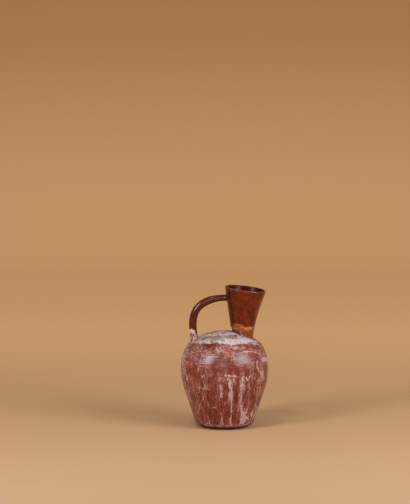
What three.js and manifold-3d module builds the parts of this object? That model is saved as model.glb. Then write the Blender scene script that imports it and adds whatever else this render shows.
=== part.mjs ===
// A hand-built ceramic jug vase, in millimetres, +Z up, standing on z = 0 with its body on the Z axis.
// The body is two thrown halves luted at the belly, on a floor slab and a foot ring. A flared neck leans
// off the right of the crown, and a rolled handle loops from the neck to the left shoulder.
import * as THREE from "three";
import { mergeVertices } from "three/addons/utils/BufferGeometryUtils.js";
import Module from "manifold-3d";

const manifold = await Module();
manifold.setup();

// Foot ring and floor slab
const footHeight = 5;
const footRadius = 50.5;
const footWidth = 8.5;
const footEdgeRound = 1.2;
const slabThickness = 7;
const slabUnderRadius = 56;
const slabBulge = 1.8;
const slabBulgeHeight = 2.5;

// Body, as a thrower's profile of arcs that meet without a corner
const bodyWall = 6;
const bellyRadius = 93.4;
const bellyHeight = 128;
const lowerArcRadius = 159;
const lowerTaper = 18.7;
const upperArcRadius = 90;
const upperArcAngle = 31.5;
const shoulderRadius = 18;
const shoulderAngle = 20.5;
const jointGroove = 0.7;

// Neck, round about an axis that starts upright and bends until it is square to the tilted mouth
const neckOffset = 37.8;
const neckRadius = 22.2;
const neckWall = 5;
const neckCollar = 21;
const neckRise = 89.3;
const mouthOffset = 44.5;
const mouthRadius = 44.2;
const mouthTilt = 6.9;
const lipThickness = 4.2;

// Coil pressed into a cove round the neck's foot
const coilRadius = 2.3;
const coilInset = 0.4;
const coilRise = 1;

// Handle, a rolled coil that thins towards the neck over the given shares of its length, with clay
// pressed round both of its ends
const handleRadius = 8.3;
const handleTopRadius = 6.8;
const handleThinEnd = 0.1;
const handleFullStart = 0.32;
const handleTopDrop = 18.4;
const handleReachInset = 25.4;
const handleReachRise = 14;
const handleFootInset = 30.4;
const handleFootLean = 8;
const handleTopFullness = 0.64;
const handleSideFullness = 0.7;
const handleFootFullness = 0.45;
const footPadSpread = 2.4;
const footPadHeight = 5;
const topPadSpread = 2.2;
const topPadHeight = 3.6;

// Clearance left in each luted joint that isn't flat, and how far a trimmed end runs past its seat
const seatGap = 0.3;
const trimDepth = 8;

// Corners closer than this are one corner
const weldDistance = 1e-4;

// Facets
const bodySegments = 64;
const neckSegments = 48;
const neckSteps = 9;
const lipSteps = 4;
const handleSides = 18;
const handleSteps = 28;
const coilSegments = 44;
const coilSides = 8;
const padSegments = 24;
const padRings = 12;
const slabEdgeSteps = 4;
const arcError = 0.15;
const seatRounds = 4;

const upright = 90;
const radians = THREE.MathUtils.degToRad;
const lerp = THREE.MathUtils.lerp;
const point = (x, y) => new THREE.Vector2(x, y);
const space = (x, z) => new THREE.Vector3(x, 0, z);

// Points on an arc about a centre, both ends included. Angles are from level, in degrees. The number of
// facets follows from how far a facet may lie inside the arc.
function arc(centre, radius, from, to) {
  const sweep = radians(Math.abs(to - from));
  const steps = Math.max(1, Math.ceil(sweep / Math.sqrt((8 * arcError) / radius)));
  const points = [];
  for (let i = 0; i <= steps; i++) {
    const angle = radians(lerp(from, to, i / steps));
    points.push(point(centre.x + radius * Math.cos(angle), centre.y + radius * Math.sin(angle)));
  }
  return points;
}

// A closed line turned about the Z axis
function turned(line) {
  return new THREE.LatheGeometry(line, bodySegments).rotateX(Math.PI / 2);
}

// Rings of points joined into a closed skin. A looped skin joins its last ring to its first, and any
// other is closed by a flat face at each end.
function lofted(rings, looped) {
  const sides = rings[0].length;
  const positions = rings.flat().flatMap((p) => [p.x, p.y, p.z]);
  const indices = [];
  const last = looped ? rings.length : rings.length - 1;
  for (let i = 0; i < last; i++) {
    const next = (i + 1) % rings.length;
    for (let j = 0; j < sides; j++) {
      const k = (j + 1) % sides;
      const [a, b, c, d] = [i * sides + j, i * sides + k, next * sides + k, next * sides + j];
      indices.push(a, b, c, a, c, d);
    }
  }
  if (!looped) {
    const end = (rings.length - 1) * sides;
    for (let j = 1; j < sides - 1; j++) {
      indices.push(0, j + 1, j);
      indices.push(end, end + j, end + j + 1);
    }
  }
  const geometry = new THREE.BufferGeometry();
  geometry.setAttribute("position", new THREE.Float32BufferAttribute(positions, 3));
  geometry.setIndex(indices);
  return geometry;
}

// A ring's corners lie half a step either side of the XZ plane, so that none falls on an edge of the body
const cornerAngle = (i, sides) => (2 * Math.PI * (i + 0.5)) / sides;

// A round ring of points about a centre in the XZ plane, square to a direction in that plane
function ring(centre, direction, radius, sides) {
  const across = space(direction.z, -direction.x);
  const points = [];
  for (let i = 0; i < sides; i++) {
    const angle = cornerAngle(i, sides);
    const p = centre.clone().addScaledVector(across, radius * Math.cos(angle));
    points.push(p.setY(radius * Math.sin(angle)));
  }
  return points;
}

// A geometry as a solid that can be cut, with its shared corners merged and its slivers dropped
function solid(geometry) {
  const bare = new THREE.BufferGeometry();
  bare.setAttribute("position", geometry.getAttribute("position"));
  bare.setIndex(geometry.index);
  const merged = mergeVertices(bare, weldDistance);
  const corners = [];
  for (let i = 0; i < merged.index.count; i += 3) {
    const [a, b, c] = [0, 1, 2].map((k) => merged.index.getX(i + k));
    if (a !== b && b !== c && c !== a) corners.push(a, b, c);
  }
  const vertProperties = new Float32Array(merged.getAttribute("position").array);
  const mesh = { numProp: 3, vertProperties, triVerts: new Uint32Array(corners) };
  return new manifold.Manifold(new manifold.Mesh(mesh));
}

function geometryOf(made) {
  const mesh = made.getMesh();
  const geometry = new THREE.BufferGeometry();
  geometry.setAttribute("position", new THREE.BufferAttribute(mesh.vertProperties, 3));
  geometry.setIndex(new THREE.BufferAttribute(mesh.triVerts, 1));
  return geometry.toNonIndexed();
}

// Centres of the body's arcs. The crown's radius follows, so that the crown is level on the axis.
const wallBottom = footHeight + slabThickness;
const lowerCentre = point(bellyRadius - lowerArcRadius, bellyHeight);
const upperCentre = point(bellyRadius - upperArcRadius, bellyHeight);
const crownAngle = upperArcAngle + shoulderAngle;
const shoulderTurn = upperArcRadius - shoulderRadius;
const shoulderCentre = point(
  upperCentre.x + shoulderTurn * Math.cos(radians(upperArcAngle)),
  upperCentre.y + shoulderTurn * Math.sin(radians(upperArcAngle)),
);
const crownRadius = shoulderRadius + shoulderCentre.x / Math.cos(radians(crownAngle));
const crownDrop = shoulderCentre.x * Math.tan(radians(crownAngle));
const crownCentre = point(0, shoulderCentre.y - crownDrop);
const crownHeight = crownCentre.y + crownRadius;

// The body's line below the belly, at a depth inside the outer face, from the wall's foot up
function lowerLine(depth) {
  const rise = arc(lowerCentre, lowerArcRadius - depth, -lowerTaper, 0);
  const radius = rise[0].x - (rise[0].y - wallBottom) * Math.tan(radians(lowerTaper));
  return [point(radius, wallBottom), ...rise];
}

// The body's line above the belly, at a depth inside the outer face, ending on the axis
function upperLine(depth) {
  return [
    ...arc(upperCentre, upperArcRadius - depth, 0, upperArcAngle),
    ...arc(shoulderCentre, shoulderRadius - depth, upperArcAngle, crownAngle).slice(1),
    ...arc(crownCentre, crownRadius - depth, crownAngle, upright).slice(1, -1),
    point(0, crownCentre.y + crownRadius - depth),
  ];
}

// The height and the slope in radians of the body's top at a distance from its axis
function bodyTop(distance) {
  const line = upperLine(0);
  const outer = line.findLastIndex((p) => p.x >= distance);
  const [a, b] = [line[outer], line[outer + 1]];
  const share = (a.x - distance) / (a.x - b.x);
  return { height: lerp(a.y, b.y, share), slope: Math.atan2(b.y - a.y, a.x - b.x) };
}

// The whole body as a filled form, grown by a clearance, for cutting what seats on it
function bodyFilled(clearance) {
  const line = [...lowerLine(-clearance), ...upperLine(-clearance).slice(1)];
  return solid(turned([point(0, wallBottom), ...line]));
}

function footRing() {
  const inner = footRadius - footWidth;
  const corner = (x, from) => arc(point(x, footEdgeRound), footEdgeRound, from, from + 90);
  const line = [
    ...corner(inner + footEdgeRound, 180),
    ...corner(footRadius - footEdgeRound, 270),
    point(footRadius, footHeight),
    point(inner, footHeight),
  ];
  return turned([...line, line[0]]);
}

// The slab's edge rounds out from its underside to the wall that stands on it
function floorSlab() {
  const topRadius = lowerLine(0)[0].x;
  const edge = new THREE.QuadraticBezierCurve(
    point(slabUnderRadius, 0),
    point(topRadius + slabBulge, slabBulgeHeight),
    point(topRadius, slabThickness - jointGroove),
  );
  return turned([
    point(0, 0),
    ...edge.getPoints(slabEdgeSteps),
    point(topRadius - jointGroove, slabThickness),
    point(0, slabThickness),
  ]);
}

function lowerBowl() {
  const outer = lowerLine(0);
  const foot = outer.shift();
  const rim = outer.pop();
  const taper = Math.tan(radians(lowerTaper));
  return turned([
    point(foot.x - jointGroove, foot.y),
    point(foot.x + jointGroove * taper, foot.y + jointGroove),
    ...outer,
    point(rim.x, rim.y - jointGroove),
    point(rim.x - jointGroove, rim.y),
    ...lowerLine(bodyWall).reverse(),
    point(foot.x - jointGroove, foot.y),
  ]);
}

// The upper half of the body, with the round hole that opens it into the neck
function upperDome() {
  const outer = upperLine(0);
  const rim = outer.shift();
  const line = [
    point(rim.x - jointGroove, rim.y),
    point(rim.x, rim.y + jointGroove),
    ...outer,
    ...upperLine(bodyWall).reverse(),
    point(rim.x - jointGroove, rim.y),
  ];
  const boreRadius = neckRadius - neckWall;
  const bore = new THREE.CylinderGeometry(boreRadius, boreRadius, crownHeight, neckSegments);
  bore.rotateX(Math.PI / 2).translate(neckOffset, 0, crownHeight);
  return geometryOf(solid(turned(line)).subtract(solid(bore)));
}

// Places along the neck from its foot to the mouth, each with a centre, a direction and an outer radius
const neckBottom = bodyTop(neckOffset + neckRadius).height - trimDepth;
const neckLength = crownHeight + neckRise - neckBottom;

function neckStations() {
  const flare = new THREE.QuadraticBezierCurve(
    point(neckRadius, 0),
    point(neckRadius, trimDepth + neckCollar),
    point(mouthRadius, neckLength),
  );
  return flare.getPoints(neckSteps).map((p) => {
    const share = p.y / neckLength;
    const tilt = radians(mouthTilt * share);
    return {
      centre: space(lerp(neckOffset, mouthOffset, share ** 2), neckBottom + p.y),
      direction: space(Math.sin(tilt), Math.cos(tilt)),
      radius: p.x,
      wall: lerp(neckWall, lipThickness, share),
    };
  });
}

// The neck as a filled cone, grown by a clearance, for cutting what seats on it
function neckFilled(clearance) {
  const rings = neckStations().map((s) => ring(s.centre, s.direction, s.radius + clearance, neckSegments));
  return solid(lofted(rings, false));
}

// A value found between the two stations on either side of a height
function alongNeck(height, heightOf, valueOf) {
  const stations = neckStations();
  const above = stations.findIndex((s) => heightOf(s) >= height);
  const [a, b] = [stations[above - 1], stations[above]];
  return lerp(valueOf(a), valueOf(b), (height - heightOf(a)) / (heightOf(b) - heightOf(a)));
}

// The left edge of the neck's outer face at a height
function neckLeft(height) {
  const heightOf = (s) => s.centre.z + s.radius * s.direction.x;
  return alongNeck(height, heightOf, (s) => s.centre.x - s.radius * s.direction.z);
}

// The radius at which the neck's outer face meets the crown, at an angle about the neck's axis
function seatRadius(angle) {
  let radius = neckRadius;
  for (let i = 0; i < seatRounds; i++) {
    const distance = Math.hypot(neckOffset + radius * Math.cos(angle), radius * Math.sin(angle));
    radius = alongNeck(bodyTop(distance).height, (s) => s.centre.z, (s) => s.radius);
  }
  return radius;
}

// A coil that follows the neck's foot round the crown, grown by a clearance. Its lower half can be drawn
// down, which leaves a cove that is open at the crown.
function footCoil(clearance, drawnDown) {
  const rings = [];
  for (let i = 0; i < coilSegments; i++) {
    const angle = cornerAngle(i, coilSegments);
    const turn = seatRadius(angle) - coilInset;
    const [x, y] = [neckOffset + turn * Math.cos(angle), turn * Math.sin(angle)];
    const height = bodyTop(Math.hypot(x, y)).height + coilRise;
    const section = [];
    for (let j = 0; j < coilSides; j++) {
      const around = -cornerAngle(j, coilSides);
      const out = (coilRadius + clearance) * Math.cos(around);
      const up = (coilRadius + clearance) * Math.sin(around);
      const z = height + up - (up < 0 ? drawnDown : 0);
      section.push(new THREE.Vector3(x + out * Math.cos(angle), y + out * Math.sin(angle), z));
    }
    rings.push(section);
  }
  return solid(lofted(rings, true));
}

// The neck's wall, with a rounded lip, cut to the crown it stands on and coved for the coil at its foot
function neckFunnel() {
  const stations = neckStations();
  const mouth = stations.at(-1);
  const outer = stations.map((s) => ring(s.centre, s.direction, s.radius, neckSegments));
  const inner = stations.map((s) => ring(s.centre, s.direction, s.radius - s.wall, neckSegments));
  const lip = [];
  for (let i = 1; i < lipSteps; i++) {
    const angle = (Math.PI * i) / lipSteps;
    const half = lipThickness / 2;
    const centre = mouth.centre.clone().addScaledVector(mouth.direction, half * Math.sin(angle));
    const radius = mouthRadius - half + half * Math.cos(angle);
    lip.push(ring(centre, mouth.direction, radius, neckSegments));
  }
  const wall = solid(lofted([...outer, ...lip, ...inner.reverse()], true));
  return geometryOf(wall.subtract(bodyFilled(seatGap)).subtract(footCoil(seatGap, trimDepth)));
}

function neckLutingCoil() {
  return geometryOf(footCoil(0, 0).subtract(bodyFilled(seatGap)));
}

// The handle's centre line, from inside the neck's wall over to its outermost point and down to the body
const handleReach = bellyRadius - handleReachInset;
const handleFootOffset = bellyRadius - handleFootInset;
const handleTopHeight = crownHeight + neckRise - handleTopDrop;
const handleTop = space(neckLeft(handleTopHeight) + trimDepth, handleTopHeight);
const handleOut = space(-handleReach, crownHeight + handleReachRise);
const handleEnd = space(-handleFootOffset, bodyTop(handleFootOffset).height - trimDepth);
const handleLean = space(Math.sin(radians(handleFootLean)), -Math.cos(radians(handleFootLean)));

function handlePath() {
  const [across, drop] = [handleTop.x - handleOut.x, handleTop.z - handleOut.z];
  const fall = handleOut.z - handleEnd.z;
  const path = new THREE.CurvePath();
  path.add(
    new THREE.CubicBezierCurve3(
      handleTop,
      space(handleTop.x - across * handleTopFullness, handleTop.z),
      space(handleOut.x, handleOut.z + drop * handleSideFullness),
      handleOut,
    ),
  );
  path.add(
    new THREE.CubicBezierCurve3(
      handleOut,
      space(handleOut.x, handleOut.z - fall * handleFootFullness),
      handleEnd.clone().addScaledVector(handleLean, -fall * handleFootFullness),
      handleEnd,
    ),
  );
  return path;
}

// The handle's coil, grown by a clearance, running past both of its seats
function handleCoil(clearance) {
  const path = handlePath();
  const rings = [];
  for (let i = 0; i <= handleSteps; i++) {
    const share = i / handleSteps;
    const fullness = THREE.MathUtils.smoothstep(share, handleThinEnd, handleFullStart);
    const radius = lerp(handleTopRadius, handleRadius, fullness);
    rings.push(ring(path.getPointAt(share), path.getTangentAt(share), radius + clearance, handleSides));
  }
  return solid(lofted(rings, false));
}

function handle() {
  return geometryOf(handleCoil(0).subtract(neckFilled(seatGap)).subtract(bodyFilled(seatGap)));
}

// Clay pressed round one end of the handle, wide across its seat and low above it
function pad(seat, tilt, radius, height) {
  const lump = new THREE.SphereGeometry(1, padSegments, padRings);
  lump.rotateX(Math.PI / 2).scale(radius, radius, height).rotateY(tilt).translate(seat.x, 0, seat.z);
  return geometryOf(
    solid(lump)
      .subtract(handleCoil(seatGap))
      .subtract(neckFilled(seatGap))
      .subtract(bodyFilled(seatGap)),
  );
}

function handleFootPad() {
  const offset = handleFootOffset + trimDepth * Math.tan(radians(handleFootLean));
  const top = bodyTop(offset);
  return pad(space(-offset, top.height), -top.slope, handleRadius + footPadSpread, footPadHeight);
}

function handleTopPad() {
  const seat = space(neckLeft(handleTopHeight), handleTopHeight);
  return pad(seat, -Math.PI / 2, handleTopRadius + topPadSpread, topPadHeight);
}

const scumbledClay = new THREE.MeshStandardMaterial({ color: 0x8b5648, roughness: 0.55, metalness: 0 });
const paleSlip = new THREE.MeshStandardMaterial({ color: 0xb49d95, roughness: 0.75, metalness: 0 });
const brownGlaze = new THREE.MeshStandardMaterial({ color: 0x6a2a12, roughness: 0.18, metalness: 0 });
const ochreGlaze = new THREE.MeshStandardMaterial({ color: 0x9d592f, roughness: 0.4, metalness: 0 });
const bareClay = new THREE.MeshStandardMaterial({ color: 0x6b4030, roughness: 0.85, metalness: 0 });

function piece(name, geometry, material) {
  const mesh = new THREE.Mesh(geometry, material);
  mesh.name = name;
  return mesh;
}

const base = new THREE.Group();
const slab = piece("floor_slab", floorSlab(), bareClay);
slab.position.z = footHeight;
base.add(piece("foot_ring", footRing(), bareClay), slab);

const body = new THREE.Group();
body.add(
  piece("lower_bowl", lowerBowl(), scumbledClay),
  piece("upper_dome", upperDome(), scumbledClay),
);

const neck = new THREE.Group();
neck.add(
  piece("neck_funnel", neckFunnel(), brownGlaze),
  piece("neck_luting_coil", neckLutingCoil(), ochreGlaze),
);

const grip = new THREE.Group();
grip.add(
  piece("handle", handle(), brownGlaze),
  piece("handle_top_pad", handleTopPad(), brownGlaze),
  piece("handle_foot_pad", handleFootPad(), paleSlip),
);

const jug = new THREE.Group();
jug.add(base, body, neck, grip);

export default jug;
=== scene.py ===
import random
from functools import partial
from math import asin, atan2, ceil, cos, pi, radians, sin, sqrt, tan

import bpy
import numpy as np
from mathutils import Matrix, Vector, noise


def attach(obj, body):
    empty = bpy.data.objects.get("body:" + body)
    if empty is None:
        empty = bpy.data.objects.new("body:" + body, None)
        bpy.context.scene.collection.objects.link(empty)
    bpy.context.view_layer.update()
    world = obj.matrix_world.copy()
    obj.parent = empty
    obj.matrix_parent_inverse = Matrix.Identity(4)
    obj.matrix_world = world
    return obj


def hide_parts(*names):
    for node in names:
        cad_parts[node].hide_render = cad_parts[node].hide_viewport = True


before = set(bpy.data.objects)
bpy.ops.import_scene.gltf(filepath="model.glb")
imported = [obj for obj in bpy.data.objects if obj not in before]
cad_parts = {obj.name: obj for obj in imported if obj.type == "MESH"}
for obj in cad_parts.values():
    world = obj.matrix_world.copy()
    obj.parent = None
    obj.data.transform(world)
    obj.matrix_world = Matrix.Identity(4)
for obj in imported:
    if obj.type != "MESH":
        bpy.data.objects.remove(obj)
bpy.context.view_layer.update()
scene = bpy.context.scene
mm = 0.001
print("frame loaded:", len(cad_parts), "nodes")

# Tools for every piece


def pickNothing():
    if bpy.context.mode != "OBJECT":
        bpy.ops.object.mode_set(mode="OBJECT")
    bpy.ops.object.select_all(action="DESELECT")


def pick(piece):
    pickNothing()
    piece.select_set(True)
    bpy.context.view_layer.objects.active = piece


def nameNew(name):
    piece = bpy.context.object
    piece.name = name
    piece.data.name = name
    return piece


def editAll():
    bpy.ops.object.mode_set(mode="EDIT")
    bpy.ops.mesh.select_all(action="SELECT")


# Draws a line of (radius, height) points, turns it about the upright axis and merges the ends
def throwOnWheel(name, line, segments):
    pickNothing()
    bpy.ops.mesh.primitive_plane_add(size=mm)
    piece = nameNew(name)
    editAll()
    bpy.ops.mesh.merge(type="CENTER")
    bpy.ops.mesh.select_all(action="SELECT")
    bpy.ops.transform.translate(value=(line[0][0] * mm, 0, line[0][1] * mm))
    for (r0, z0), (r1, z1) in zip(line, line[1:]):
        move = ((r1 - r0) * mm, 0, (z1 - z0) * mm)
        bpy.ops.mesh.extrude_vertices_move(TRANSFORM_OT_translate={"value": move})
    bpy.ops.mesh.select_all(action="SELECT")
    bpy.ops.mesh.spin(steps=segments, angle=2 * pi, center=(0, 0, 0), axis=(0, 0, 1))
    tidySkin()
    return piece


# Merges doubles and turns all faces outwards, from edit mode back to object mode
def tidySkin():
    bpy.ops.mesh.select_all(action="SELECT")
    bpy.ops.mesh.remove_doubles(threshold=0.002 * mm)
    bpy.ops.mesh.normals_make_consistent(inside=False)
    bpy.ops.object.mode_set(mode="OBJECT")


def applyModifier(piece, kind, **settings):
    pick(piece)
    modifier = piece.modifiers.new(kind.title(), kind)
    for key, value in settings.items():
        setattr(modifier, key, value)
    bpy.ops.object.modifier_apply(modifier=modifier.name)


def placesOf(piece):
    places = np.empty(len(piece.data.vertices) * 3)
    piece.data.vertices.foreach_get("co", places)
    return places.reshape(-1, 3) / mm


# Smooth noise, about -1 to 1, for each place. The size of its swells is in millimetres: one
# number, or one for each direction.
def cloud(places, size, seed):
    scaled = places / np.array(size) + seed
    return np.array([noise.noise(Vector(p)) for p in scaled])


# Raises the skin by an amount in millimetres for each point, with a vertex group and Displace
def raiseSkin(piece, amounts):
    span = max(float(np.abs(amounts).max()), 0.001)
    shares = 0.5 + 0.5 * amounts / span
    group = piece.vertex_groups.new(name="relief")
    for i, share in enumerate(shares):
        group.add([i], float(share), "REPLACE")
    lift = {"strength": 2 * span * mm, "mid_level": 0, "vertex_group": "relief"}
    applyModifier(piece, "DISPLACE", **lift)
    applyModifier(piece, "DISPLACE", strength=-span * mm, mid_level=0)
    piece.vertex_groups.remove(piece.vertex_groups["relief"])


def smoothStep(share):
    share = np.clip(share, 0, 1)
    return share * share * (3 - 2 * share)


# 1 at the middle, falling away on both sides
def bell(value, middle, width):
    return np.exp(-(((value - middle) / width) ** 2))


# How strongly each point lies under a set of brush strokes. A stroke is its half width in
# millimetres, its strength, and the (angle, height) points that it runs through.
def brushed(angle, reach, radius, strokes, reachAt):
    field = np.zeros(len(angle))
    perDegree = np.maximum(radius, 1) * pi / 180
    for halfWidth, strength, path in strokes:
        nearest = np.full(len(angle), 1e9)
        points = [(a, float(reachAt(z))) for a, z in path]
        for (a0, s0), (a1, s1) in zip(points, points[1:]):
            across = ((angle - a0 + 180) % 360 - 180) * perDegree
            up = reach - s0
            runAcross = (a1 - a0) * perDegree
            runUp = s1 - s0
            share = (across * runAcross + up * runUp) / (runAcross**2 + runUp**2 + 1e-9)
            share = np.clip(share, 0, 1)
            gap = np.hypot(across - share * runAcross, up - share * runUp)
            nearest = np.minimum(nearest, gap)
        fade = halfWidth * 0.55
        field = np.maximum(field, strength * smoothStep((halfWidth - nearest) / fade))
    return field


# Keeps four fields, each an array or one number, and the grain's places, on the mesh for its
# material to read
def keepFinish(piece, fields, wrapped):
    mesh = piece.data
    shares = np.stack([np.broadcast_to(field, len(wrapped)) for field in fields], 1)
    colours = mesh.color_attributes.new("finish", "FLOAT_COLOR", "POINT")
    colours.data.foreach_set("color", shares.astype(np.float32).ravel())
    wrap = mesh.attributes.new("wrap", "FLOAT_VECTOR", "POINT")
    wrap.data.foreach_set("vector", (wrapped * mm).astype(np.float32).ravel())


# Smooths a finished piece's shading up to an angle and says what it is
def declare(piece, node, mat, smoothTo):
    pick(piece)
    bpy.ops.object.shade_smooth_by_angle(angle=radians(smoothTo))
    piece.data.materials.clear()
    piece.data.materials.append(mat)
    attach(piece, "root")
    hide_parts(node)
    print(piece.name, "made:", len(piece.data.polygons), "faces")


# Materials


# A colour as it is picked from a screen, made linear
def srgb(*levels):
    shares = [level / 255 for level in levels]
    return (*[s / 12.92 if s <= 0.04045 else ((s + 0.055) / 1.055) ** 2.4 for s in shares], 1)


def newMaterial(name):
    mat = bpy.data.materials.new(name)
    mat.use_nodes = True
    return mat


def add(mat, kind, inputs=None, **settings):
    made = mat.node_tree.nodes.new("ShaderNode" + kind)
    for key, value in settings.items():
        setattr(made, key, value)
    for key, value in (inputs or {}).items():
        plug(mat, made.inputs[key], value)
    return made


def plug(mat, socket, value):
    if isinstance(value, bpy.types.NodeSocket):
        mat.node_tree.links.new(value, socket)
    else:
        socket.default_value = value


def mixed(mat, share, first, second):
    inputs = {0: share, 6: first, 7: second}
    return add(mat, "Mix", inputs, data_type="RGBA").outputs[2]


def maths(mat, operation, first, second=0, third=0):
    inputs = {0: first, 1: second, 2: third}
    return add(mat, "Math", inputs, operation=operation).outputs[0]


# Colours laid over a first one, each by its own share
def layered(mat, colour, *rows):
    for share, over in rows:
        colour = mixed(mat, share, colour, over)
    return colour


def times(mat, first, second):
    return maths(mat, "MULTIPLY", first, second)


# A value with others laid on it, each by its own weight
def summed(mat, total, *rows):
    for value, weight in rows:
        total = maths(mat, "MULTIPLY_ADD", value, weight, total)
    return total


# A value taken from one range to another, eased at both ends
def ranged(mat, value, low, high, toLow=0, toHigh=1):
    inputs = {0: value, 1: low, 2: high, 3: toLow, 4: toHigh}
    return add(mat, "MapRange", inputs, interpolation_type="SMOOTHSTEP").outputs[0]


# Noise on a vector that is first scaled, so that its marks are long in one direction. With an
# edge they go from 0 to 1 within that much of its middle value.
def grain(mat, vector, scale, stretch=(1, 1, 1), detail=4, roughness=0.6, shift=0, edge=None):
    placed = {"Vector": vector, "Scale": stretch, "Location": (shift, shift, shift)}
    mapping = add(mat, "Mapping", placed)
    values = {"Scale": scale, "Detail": detail, "Roughness": roughness}
    fac = add(mat, "TexNoise", {"Vector": mapping.outputs[0], **values}).outputs["Fac"]
    return fac if edge is None else ranged(mat, fac, 0.5 - edge, 0.5 + edge)


# Curly lines where the noise is near its middle value. The fade says how near to it they have
# their strength, and how far from it they end.
def curls(mat, vector, fade, scale, stretch, **settings):
    full, none, strength = fade
    away = maths(mat, "SUBTRACT", grain(mat, vector, scale, stretch, **settings), 0.5)
    return ranged(mat, maths(mat, "ABSOLUTE", away), full, none, strength, 0)


def readFinish(mat):
    finish = add(mat, "Attribute", attribute_name="finish")
    parts = add(mat, "SeparateColor", {"Color": finish.outputs["Color"]})
    wrap = add(mat, "Attribute", attribute_name="wrap").outputs["Vector"]
    climb = add(mat, "SeparateXYZ", {"Vector": wrap}).outputs["Z"]
    return [*parts.outputs[:3], finish.outputs["Alpha"]], wrap, climb


# The bump is 0.3 mm deep at a strength of 1
def bumped(mat, height, strength):
    values = {"Height": height, "Distance": 0.3 * mm, "Strength": strength}
    return add(mat, "Bump", values).outputs[0]


def coated(mat, colour, roughness, more):
    shader = mat.node_tree.nodes["Principled BSDF"]
    for name, value in {"Base Color": colour, "Roughness": roughness, **more}.items():
        plug(mat, shader.inputs[name], value)
    return mat


scumble = {
    "clayRed": srgb(131, 50, 32),
    "clayDark": srgb(91, 32, 21),
    "rust": srgb(146, 66, 28),
    "darkBrown": srgb(60, 23, 17),
    "film": srgb(182, 117, 101),
    "coolFilm": srgb(164, 122, 120),
    "lowWash": srgb(204, 177, 175),
    "shoulderWash": srgb(220, 216, 216),
    "greenWash": srgb(150, 152, 130),
    "crack": srgb(92, 72, 60),
    "levelFrom": (0.118, 0.14),
    "shoulderFrom": (0.176, 0.186),
    "thick": (1.08, 1.55),
    "thin": (0.6, 1.25, 0, 0.62),
    "shine": (0, 1, 0.24, 0.38),
    "bump": 0.7,
}


# Red-brown clay under a broken white wash, brushed level above the belly and upright below it
def scumbledClay():
    mat = newMaterial("scumbledClay")
    (wash, rust, dark, green), wrap, climb = readFinish(mat)
    marks = partial(grain, mat, wrap)
    turn = ranged(mat, climb, *scumble["levelFrom"])
    onShoulder = ranged(mat, climb, *scumble["shoulderFrom"])
    onWall = maths(mat, "SUBTRACT", turn, onShoulder)
    upright = marks(320, (1, 1, 0.16), detail=7, roughness=0.7, edge=0.14)
    level = marks(300, (0.28, 0.28, 1), detail=7, roughness=0.72, shift=3.7, edge=0.13)
    daub = marks(240, (0.7, 0.7, 1), detail=6, roughness=0.7, shift=6.6, edge=0.12)
    speck = marks(330, (1, 1, 0.8), detail=6, roughness=0.7, shift=1.3, edge=0.13)
    patch = marks(45, (1, 1, 0.8), detail=3, shift=8.4, edge=0.12)
    blotch = marks(60, (1, 1, 0.6), roughness=0.65, shift=5.1, edge=0.14)
    brush = mixed(mat, turn, upright, level)
    brush = mixed(mat, times(mat, onShoulder, 0.8), brush, daub)
    cover = summed(mat, wash, (brush, 0.55), (speck, 0.45), (blotch, 0.35))
    thick = ranged(mat, cover, *scumble["thick"])
    film = times(mat, ranged(mat, cover, *scumble["thin"]), ranged(mat, turn, 0, 1, 0.6, 1))
    clayShare = summed(mat, times(mat, blotch, 0.55), (brush, 0.45))
    clay = mixed(mat, clayShare, scumble["clayDark"], scumble["clayRed"])
    filmColour = mixed(mat, patch, scumble["film"], scumble["coolFilm"])
    washColour = mixed(mat, onShoulder, scumble["lowWash"], scumble["shoulderWash"])
    washColour = mixed(mat, green, washColour, scumble["greenWash"])
    line = curls(mat, wrap, (0.008, 0.045, 1), 270, (0.5, 0.5, 1), detail=3, shift=9.2)
    scribble = times(mat, line, ranged(mat, wash, 0.2, 0.6, 0.04, 0.6))
    scratch = curls(mat, wrap, (0.006, 0.032, 0.62), 330, (0.45, 0.45, 1), detail=3, shift=14.2)
    scratch = times(mat, scratch, ranged(mat, blotch, 0.3, 0.7, 0.25, 1))
    crack = times(mat, line, onShoulder)  # in the thick wash the pale lines are cracks
    crack = times(mat, crack, ranged(mat, green, 0, 0.4, 0.45, 1))
    darkShare = times(mat, dark, ranged(mat, brush, 0, 1, 1, 0.6))
    colour = layered(
        mat, clay,
        (times(mat, rust, 0.85), scumble["rust"]),
        (film, filmColour),
        (times(mat, thick, 0.75), washColour),
        (times(mat, scribble, onWall), scumble["lowWash"]),
        (times(mat, scratch, onWall), scumble["darkBrown"]),
        (crack, scumble["crack"]),
        (darkShare, scumble["darkBrown"]),
    )
    height = summed(mat, times(mat, brush, 0.4), (thick, 0.6), (crack, -0.4))
    rough = ranged(mat, thick, *scumble["shine"])
    return coated(mat, colour, rough, {"Normal": bumped(mat, height, scumble["bump"])})


glaze = {
    "deep": srgb(66, 12, 0),
    "amber": srgb(116, 35, 0),
    "ochre": srgb(149, 88, 29),
    "brightOchre": srgb(214, 146, 88),
    "footRed": srgb(116, 40, 20),
    "thin": srgb(158, 104, 86),
    "pale": srgb(212, 176, 164),
    "black": srgb(30, 7, 2),
    "specular": 0.42,
    "insideSpecular": 0.08,
    "redBelow": (0.201, 0.212, 0.7, 0.15),
    "bandEdge": (0.575, 0.875),
    "slipEdge": (0.82, 1.15),
    "shine": (0, 1, 0.16, 0.42),
    "dullInside": (0.74, 0.88, 0, 0.4),
    "bump": 0.2,
}


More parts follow.
